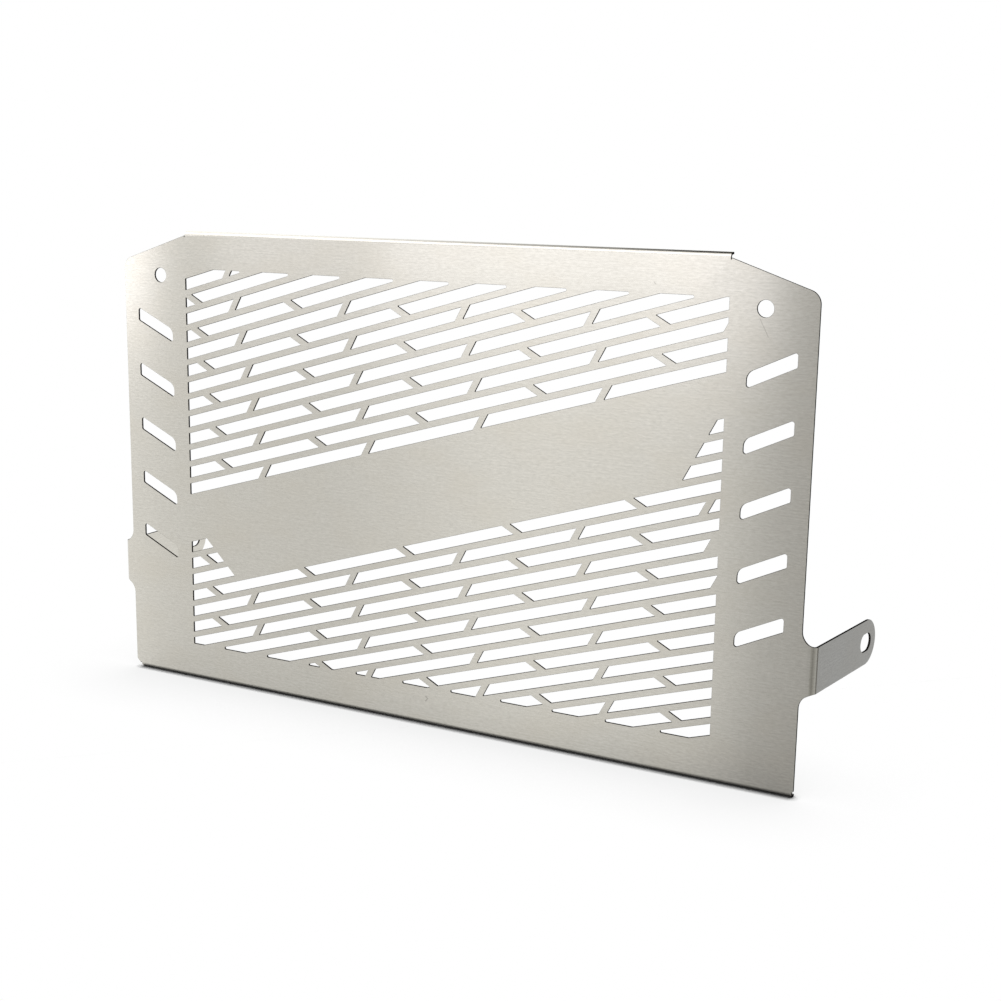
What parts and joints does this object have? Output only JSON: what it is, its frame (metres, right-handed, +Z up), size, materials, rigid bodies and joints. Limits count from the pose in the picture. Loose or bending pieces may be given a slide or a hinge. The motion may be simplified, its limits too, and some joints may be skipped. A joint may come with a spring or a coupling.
{
  "type": "motorcycle radiator guard",
  "caption": "Flat laser-cut steel guard for a motorcycle radiator, with slanted slots, a plain diagonal band, folded lips and rearward mounting tabs.",
  "frame": {"origin": "midway between the centres of the two upper mounting holes, on the front face of the sheet", "axes": "+X to the right as seen from the front, +Y back towards the radiator, +Z up; the front face is the plane y = 0"},
  "size_m": [0.3696, 0.064, 0.2223],
  "materials": {
    "brushed_stainless": "fine brushed grain along the width, bare, uncoated"
  },
  "bodies": {
    "root": {"guard_sheet": "brushed_stainless"}
  },
  "joints": []
}
